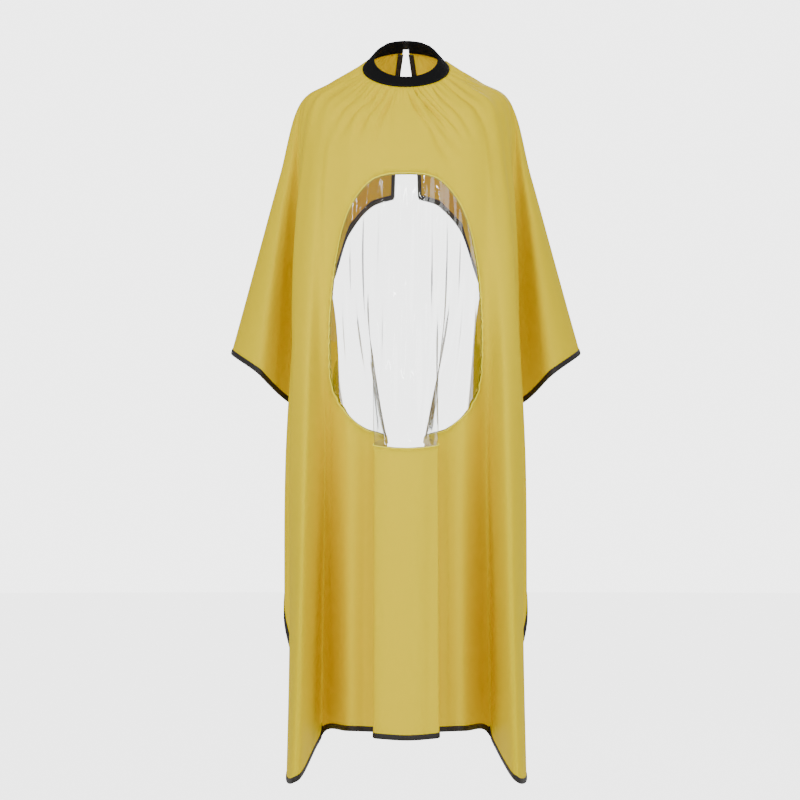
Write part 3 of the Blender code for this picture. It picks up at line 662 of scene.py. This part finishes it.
def pane_hanging(lines, distances, offset):
    """The cloth's folds without its gathers, and the vertical ripples of a stiff, clear sheet."""
    point, normal, down, across = drape_frame(lines, distances)
    inside = np.clip(window_depth(lines, distances) / 0.03, 0, 1)
    wave = 0.0016 * np.sin(lines * 5.3 + 2.2 * np.sin(distances * 6.0)) + 0.0010 * np.sin(
        lines * 11.0 + distances * 14.0 + 1.0
    )
    below = distances - BAND_OVERLAP
    lift = (gathers(lines, below) + slow_waves(lines, below)) * (1 - 0.6 * inside)
    return drape(lines, distances) + normal * (lift + offset + wave * inside)[..., None]


pane_grid = cut_grid(-LINE["fold_ridge"], LINE["fold_ridge"], PANE_MARGIN, keep_inside=True)
pane = raised_piece("window_sheet", pane_grid, PANE_BEHIND, pane_hanging)
pane_solid = pane.modifiers.new("thickness", "SOLIDIFY")
pane_solid.thickness, pane_solid.offset = 0.0003, 0
print("clear sheet:", len(pane.data.polygons), "faces")

# %% The facing behind it, the rolled edge and the stitches
facing_points = []
for share in np.linspace(0, 1, 7):
    lines, distances = window_loop(PANE_MARGIN - 0.0125 * share, edge_turns)
    facing_points.append(hanging(lines, distances, PANE_BEHIND - 0.0012 - 0.0003 * np.sin(np.pi * share)))
facing = strip("window_facing", np.stack(facing_points, axis=1), 0.0004)

roll_point, roll_normal, roll_out = outline_frame(edge_turns)
ROLL_RADIUS = 0.0012
roll_angles = np.linspace(0, 2 * np.pi, 13)
roll_points = [
    roll_point + ROLL_RADIUS * ((0.4 + np.cos(angle)) * roll_normal + np.sin(angle) * roll_out) for angle in roll_angles
]
piping = strip("window_piping", np.stack(roll_points, axis=1))


grain = bmesh.new()
bmesh.ops.create_uvsphere(grain, u_segments=8, v_segments=5, radius=1, matrix=Matrix.Rotation(np.pi / 2, 4, "Y"))
grain_shape = np.array([vertex.co[:] for vertex in grain.verts])
grain_mesh = bpy.data.meshes.new("grain")
grain.to_mesh(grain_mesh)
grain.free()


def stitches(name, places, ahead, normal, length=0.0024, radius=0.00028):
    """A row of stitches: each is a small rounded grain of thread, sunk a little into the cloth."""
    row = bmesh.new()
    for place in places:
        row.from_mesh(grain_mesh)
    half = np.array([length / 2, radius, radius])
    frames = np.stack([ahead, np.cross(normal, ahead), normal], axis=1) * half[:, None]
    shape = places[:, None] + grain_shape @ frames
    for vertex, place in zip(row.verts, shape.reshape(-1, 3)):
        vertex.co = place
    mesh = bpy.data.meshes.new(name)
    row.to_mesh(mesh)
    row.free()
    mesh.shade_smooth()
    obj = bpy.data.objects.new(name, mesh)
    bpy.context.scene.collection.objects.link(obj)
    return obj


STITCH_PITCH = 0.0034
stitch_turns = even_turns(int(edge_length / STITCH_PITCH))[0][:-1]
stitch_point, stitch_normal, stitch_out = outline_frame(stitch_turns, 0.0042, 0.0005)
stitch_ahead = unit(np.roll(stitch_point, -1, axis=0) - np.roll(stitch_point, 1, axis=0))
window_thread = stitches("window_stitches", stitch_point, stitch_ahead, unit(stitch_normal - stitch_ahead * np.sum(
    stitch_normal * stitch_ahead, axis=1, keepdims=True)))
print("window stitches:", len(stitch_turns))

# %% [markdown]
# ## The neckband
#
# The band is rib knit: a strip with fine ridges across it, folded over the gathered edge with an elastic inside.
# The ridges are real geometry, because their size shows at the band's outline. The band's two ends are stitched
# flat, so its section closes up over the last few millimetres.

# %% The band's surface
BAND_CLEAR = 0.0017  # from the middle of the band to the middle of the knit
RIB_PITCH = 0.0024
RIB_HEIGHT = 0.00025


def band_surface(degrees, share, offset):
    """Points at this height over the neckband's middle surface, outwards."""
    degrees, share, offset = np.broadcast_arrays(*(np.asarray(value, float) for value in (degrees, share, offset)))
    turn = np.radians(degrees)
    size = 1 - share * (1 - BAND_TOP_SHARE)
    point = np.stack([
        NECK_HALF_WIDTH * size * np.sin(turn),
        -NECK_HALF_DEPTH * size * np.cos(turn),
        share * BAND_HEIGHT - BAND_DROP - BAND_TILT * np.cos(turn),
    ], axis=-1)
    around = np.stack([
        NECK_HALF_WIDTH * size * np.cos(turn), NECK_HALF_DEPTH * size * np.sin(turn), BAND_TILT * np.sin(turn)
    ], axis=-1)
    up = np.stack([
        -NECK_HALF_WIDTH * (1 - BAND_TOP_SHARE) * np.sin(turn),
        NECK_HALF_DEPTH * (1 - BAND_TOP_SHARE) * np.cos(turn),
        BAND_HEIGHT + 0 * turn,
    ], axis=-1)
    return point + unit(np.cross(around, up)) * offset[..., None]


# %% The knit, the elastic and the seam
band_degrees = np.linspace(BAND_END - 180, 180 - BAND_END, 1401)
band_length = float(np.linalg.norm(np.diff(band_surface(band_degrees, 0.5, 0.0), axis=0), axis=1).sum())
ribs = 0.5 - 0.5 * np.cos(2 * np.pi * np.linspace(0, band_length / RIB_PITCH, len(band_degrees)))
end_close = np.clip((180 - BAND_END - np.abs(band_degrees)) / 2.2, 0, 1)
end_close = 0.35 + 0.65 * np.sqrt(1 - (1 - end_close) ** 2)
fold_share = BAND_CLEAR / BAND_HEIGHT * 0.7
section = (
    [(share, 1.0) for share in np.linspace(0.0, 1.0, 9)]
    + [(1.0 + fold_share * np.sin(angle), np.cos(angle)) for angle in np.linspace(0, np.pi, 9)[1:-1]]
    + [(share, -1.0) for share in np.linspace(1.0, 0.0, 9)]
)
knit_points = [
    band_surface(band_degrees, share, (BAND_CLEAR * height + np.sign(height) * RIB_HEIGHT * ribs) * end_close)
    for share, height in section
]
band = strip("neckband_knit", np.stack(knit_points, axis=1), 0.0007)

elastic_degrees = np.linspace(BAND_END - 178, 178 - BAND_END, 200)
elastic_points = [band_surface(elastic_degrees, share, 0.0) for share in np.linspace(0.36, 0.92, 8)]
elastic = strip("neck_elastic_tape", np.stack(elastic_points, axis=1), 0.0008)

seam_degrees = np.arange(BAND_END - 178, 178 - BAND_END, 2.2)
seam_point = band_surface(seam_degrees, 0.10, BAND_CLEAR + 0.00045)
seam_ahead = unit(np.gradient(seam_point, axis=0))
seam_normal = unit(band_surface(seam_degrees, 0.10, 0.01) - band_surface(seam_degrees, 0.10, 0.0))
band_thread = stitches("neckband_stitches", seam_point, seam_ahead, seam_normal, 0.0026, 0.00022)
print("neckband:", round(band_length, 3), "m round,", int(band_length / RIB_PITCH), "ribs")

# %% [markdown]
# ## The closure
#
# A strap behind the neck closes the slit. One end is stitched down on the wearer's left, and the other carries a
# hook tape that presses onto a loop tape on the right. The strap turns on the end of its stitching, so the strap
# and the hook tape ride together on the moving body.

# %% The strap and its tapes
STRAP_ROOT, STRAP_REACH = 28, 36
ANCHOR_START, ANCHOR_REACH = 20, 44
HOOK_START, LOOP_START, LOOP_REACH = 20, 12, 52
STRAP_MARGIN = 0.10
LAYER = 0.0013  # from one layer's underside to the next
LOOP_BOTTOM = 0.0024


def patch(name, first, last, bottom, thickness, narrower=0.0, round_first=0.0, round_last=0.0):
    """A patch on the band, from first to last, in degrees round from the middle of the back to the wearer's left.
    Its ends are rounded by this many degrees."""
    turns = np.linspace(first, last, 90)
    half = 0.5 - STRAP_MARGIN - narrower
    size = np.ones_like(turns)
    for end, reach in ((first, round_first), (last, round_last)):
        if reach:
            near = np.clip(np.abs(turns - end) / reach, 0, 1)
            size = np.minimum(size, 0.12 + 0.88 * np.sqrt(1 - (1 - near) ** 2))
    points = [
        band_surface(180 - turns, 0.5 + half * size * share, bottom + thickness / 2)
        for share in np.linspace(-1, 1, 13)
    ]
    return strip(name, np.stack(points, axis=1), thickness, 0.0002)


loops = patch("loop_side_tape", -LOOP_REACH, -LOOP_START, LOOP_BOTTOM, 0.0009, 0.05, 1.5, 1.5)
hooks = patch("hook_side_tape", -STRAP_REACH, -HOOK_START, LOOP_BOTTOM + LAYER, 0.0009, 0.10, 1.5, 1.5)
strap = patch("strap_webbing", -STRAP_REACH, STRAP_ROOT, LOOP_BOTTOM + 2 * LAYER, 0.0010, 0.0, 6.0, 0.0)
anchor = patch("strap_stitched_end", ANCHOR_START, ANCHOR_REACH, LOOP_BOTTOM, 0.0023, 0.0, 0.0, 1.5)
print("strap pieces:", loops.name, hooks.name, strap.name, anchor.name)

# %% [markdown]
# ## Materials
#
# Thin polyester is matt with a soft sheen, and some light passes through it, which is why its shaded folds turn a
# deep orange and not grey. A mix of a Principled and a Translucent shader gives that. The weave follows the UV map
# of the flat, cut cloth, so the threads run straight in the cloth and bend only where it folds.


# %% Small helpers for node trees
def new_material(name, colour, roughness, sheen=0.0):
    made = bpy.data.materials.new(name)
    made.use_nodes = True
    surface = made.node_tree.nodes["Principled BSDF"]
    surface.inputs["Base Color"].default_value = (*colour, 1)
    surface.inputs["Roughness"].default_value = roughness
    surface.inputs["Sheen Weight"].default_value = sheen
    surface.inputs["Sheen Roughness"].default_value = 0.4
    return made, made.node_tree, surface


def node(tree, kind, **values):
    """A node of this kind. Values whose names match a socket set the socket, and the rest set properties."""
    made = tree.nodes.new("ShaderNode" + kind)
    for key, value in values.items():
        label = key.replace("_", " ")
        if label in made.inputs:
            made.inputs[label].default_value = value
        else:
            setattr(made, key, value)
    return made


def weave_bump(tree, surface, period, height, uv="UV"):
    """A plain weave: two sets of threads at right angles on the UV map, with this many metres from one to the next."""
    place = node(tree, "TexCoord")
    waves = []
    for direction in ("X", "Y"):
        wave = node(tree, "TexWave", bands_direction=direction, Scale=0.314 / period)
        tree.links.new(place.outputs[uv], wave.inputs["Vector"])
        waves.append(wave)
    both = node(tree, "Math", operation="MULTIPLY")
    for index, wave in enumerate(waves):
        tree.links.new(wave.outputs["Fac"], both.inputs[index])
    bump = node(tree, "Bump", Strength=1.0, Distance=height)
    tree.links.new(both.outputs[0], bump.inputs["Height"])
    tree.links.new(bump.outputs["Normal"], surface.inputs["Normal"])
    return place, bump


# %% Yellow polyester
CLOTH_COLOUR = (0.96, 0.82, 0.0)
cloth_material, tree, surface = new_material("yellow polyester", CLOTH_COLOUR, 0.55, 0.0)
surface.inputs["Specular IOR Level"].default_value = 0.12
place, weave = weave_bump(tree, surface, 0.0005, 0.00004)
crinkle = node(tree, "TexNoise", Scale=38.0, Detail=3.0, Roughness=0.55)
tree.links.new(place.outputs["Object"], crinkle.inputs["Vector"])
crinkle_bump = node(tree, "Bump", Strength=1.0, Distance=0.0007)
tree.links.new(crinkle.outputs["Fac"], crinkle_bump.inputs["Height"])
tree.links.new(crinkle_bump.outputs["Normal"], weave.inputs["Normal"])
through = node(tree, "BsdfTranslucent", Color=(1.0, 0.71, 0.0, 1))
mix = node(tree, "MixShader", Fac=0.32)
tree.links.new(surface.outputs[0], mix.inputs[1])
tree.links.new(through.outputs[0], mix.inputs[2])
tree.links.new(mix.outputs[0], tree.nodes["Material Output"].inputs["Surface"])

# %% Clear vinyl
clear_material, tree, surface = new_material("clear vinyl", (0.93, 0.95, 0.95), 0.04)
clear = node(tree, "BsdfTransparent", Color=(0.985, 0.99, 0.988, 1))
facing_ratio = node(tree, "Fresnel", IOR=1.5)
strength = node(tree, "Math", operation="MULTIPLY_ADD")
strength.inputs[1].default_value, strength.inputs[2].default_value = 0.85, 0.012
tree.links.new(facing_ratio.outputs[0], strength.inputs[0])
gloss = node(tree, "BsdfGlossy", Roughness=0.05, Color=(1, 1, 1, 1))
pane_mix = node(tree, "MixShader")
tree.links.new(strength.outputs[0], pane_mix.inputs[0])
tree.links.new(clear.outputs[0], pane_mix.inputs[1])
tree.links.new(gloss.outputs[0], pane_mix.inputs[2])
tree.links.new(pane_mix.outputs[0], tree.nodes["Material Output"].inputs["Surface"])

# %% Trims
# The roll is the cloth's own turned edge. Its yellow is lighter than the cloth's, and that extra lightness is a painted
# highlight along the fold.
roll_painted_highlight_material, tree, surface = new_material("yellow roll with painted highlight", (0.98, 0.86, 0.02), 0.5)
facing_material, tree, surface = new_material("window facing", (0.70, 0.55, 0.05), 0.6)
weave_bump(tree, surface, 0.0009, 0.00008)
thread_material, tree, surface = new_material("yellow thread", (0.80, 0.52, 0.015), 0.5)
tape_material, tree, surface = new_material("black binding", (0.010, 0.007, 0.006), 0.60, 0.03)
weave_bump(tree, surface, 0.0008, 0.00010)
knit_material, tree, surface = new_material("black rib knit", (0.004, 0.004, 0.0045), 0.9)
surface.inputs["Specular IOR Level"].default_value = 0.15
weave_bump(tree, surface, 0.0012, 0.00012)
black_thread_material, tree, surface = new_material("black thread", (0.02, 0.02, 0.02), 0.6)
elastic_material, tree, surface = new_material("white elastic", (0.78, 0.77, 0.73), 0.8)
weave_bump(tree, surface, 0.0011, 0.00012)
webbing_material, tree, surface = new_material("black webbing", (0.008, 0.008, 0.009), 0.7, 0.05)
weave_bump(tree, surface, 0.0011, 0.00015)


def nap(name, scale, height):
    """Black nylon pile: hooks are coarse and even, and loops are fine and tangled."""
    made, tree, surface = new_material(name, (0.014, 0.014, 0.015), 0.9, 0.1)
    place = node(tree, "TexCoord")
    cells = node(tree, "TexVoronoi", Scale=scale)
    tree.links.new(place.outputs["Object"], cells.inputs["Vector"])
    bump = node(tree, "Bump", Strength=1.0, Distance=height)
    tree.links.new(cells.outputs["Distance"], bump.inputs["Height"])
    tree.links.new(bump.outputs["Normal"], surface.inputs["Normal"])
    return made


hook_material, loop_material = nap("hook pile", 900.0, 0.0006), nap("loop pile", 1500.0, 0.0004)
print("materials:", len(bpy.data.materials))

# %% [markdown]
# ## Put the pieces on the frame
#
# Each piece rides on a body and takes the place of the solids it stands for. The table also gives each piece a
# slot, which nothing here uses.

# %% Ride and replace
CLOTH_THICKNESS = 0.0005
cloth_solid = cloth.modifiers.new("thickness", "SOLIDIFY")
cloth_solid.thickness, cloth_solid.offset = CLOTH_THICKNESS, 0
BOTH_SIDES = ("pleat_underlay", "lower_front", "front_fold", "front_corner", "side_panel", "shoulder_flap", "back_corner",
              "back_panel")
cloth_nodes = ["upper_front", "centre_pleat_panel"] + [
    f"{side}_{part}" for side in ("left", "right") for part in BOTH_SIDES
]
placements = [
    (cloth, "cape", "yellow_cloth", cloth_material, cloth_nodes),
    (pane, "cape", "clear_sheet", clear_material, ["clear_window"]),
    (facing, "cape", "window_tape", facing_material, ["window_facing_upper", "window_facing_lower"]),
    (piping, "cape", "yellow_cloth", roll_painted_highlight_material, []),
    (window_thread, "cape", "yellow_cloth", thread_material, []),
    (band, "cape", "black_rib", knit_material, ["neckband_cover"]),
    (band_thread, "cape", "black_rib", black_thread_material, []),
    (elastic, "cape", "elastic", elastic_material, ["neck_elastic"]),
    (loops, "cape", "hook_and_loop", loop_material, ["loop_tape"]),
    (anchor, "cape", "black_rib", webbing_material, ["strap_anchor"]),
    (hooks, "strap", "hook_and_loop", hook_material, ["hook_tape"]),
    (strap, "strap", "black_rib", webbing_material, ["closure_strap"]),
] + [(tape, "cape", "black_binding", tape_material, [name]) for name, tape in tapes.items()]
for piece, body, slot, finish, nodes in placements:
    piece.data.materials.clear()
    piece.data.materials.append(finish)
    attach(piece, body)
    if nodes:
        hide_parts(*nodes)


# %% [markdown]
# ## Studio
#
# A pale floor, a white surround, a large soft light from the upper left and a weaker one from the right keep the folds readable.
# Two narrow upright lights are there for the clear sheet: it shows only what it reflects, and an upright light
# makes an upright streak.

# %% The floor
FLOOR = -1.42
floor = bmesh.new()
bmesh.ops.create_circle(floor, cap_ends=True, segments=96, radius=14)
bmesh.ops.translate(floor, verts=floor.verts, vec=(0, 0, FLOOR))
floor_mesh = bpy.data.meshes.new("floor")
floor.to_mesh(floor_mesh)
floor.free()
floor_object = bpy.data.objects.new("floor", floor_mesh)
bpy.context.scene.collection.objects.link(floor_object)
floor_material, tree, surface = new_material("pale floor", (0.9, 0.9, 0.9), 0.9)
seen = node(tree, "LightPath")
glow = node(tree, "Emission", Color=(1, 1, 1, 1), Strength=4.2)
share = node(tree, "Math", operation="MULTIPLY")
share.inputs[1].default_value = 0.85
floor_mix = node(tree, "MixShader")
tree.links.new(seen.outputs["Is Camera Ray"], share.inputs[0])
tree.links.new(share.outputs[0], floor_mix.inputs[0])
tree.links.new(surface.outputs[0], floor_mix.inputs[1])
tree.links.new(glow.outputs[0], floor_mix.inputs[2])
tree.links.new(floor_mix.outputs[0], tree.nodes["Material Output"].inputs["Surface"])
floor_mesh.materials.append(floor_material)


# %% Lights
def area_light(name, place, target, width, height, power):
    data = bpy.data.lights.new(name, "AREA")
    data.shape, data.size, data.size_y, data.energy = "RECTANGLE", width, height, power
    light = bpy.data.objects.new(name, data)
    light.location = place
    light.rotation_euler = (Vector(target) - Vector(place)).to_track_quat("-Z", "Y").to_euler()
    bpy.context.scene.collection.objects.link(light)
    return light


BODY = (0.0, -0.1, -0.55)
area_light("key", (-2.2, -3.0, 1.6), BODY, 1.8, 1.8, 80)
area_light("fill", (2.4, -2.8, 0.3), BODY, 2.0, 2.4, 42)
area_light("back", (1.2, 3.2, 1.4), BODY, 2.0, 2.0, 60)
area_light("streak right", (0.55, -2.6, 0.9), (0.0, -0.15, -0.4), 0.10, 1.5, 16)
area_light("streak left", (-0.9, -2.4, 0.6), (0.0, -0.15, -0.4), 0.06, 1.4, 8)
world = bpy.data.worlds.new("studio")
world.use_nodes = True
background = world.node_tree.nodes["Background"]
seen = node(world.node_tree, "LightPath")
brightness = node(world.node_tree, "Math", operation="MULTIPLY_ADD")
brightness.inputs[1].default_value, brightness.inputs[2].default_value = 3.6, 0.50
world.node_tree.links.new(seen.outputs["Is Camera Ray"], brightness.inputs[0])
world.node_tree.links.new(brightness.outputs[0], background.inputs["Strength"])
background.inputs["Color"].default_value = (1, 1, 1, 1)
bpy.context.scene.world = world
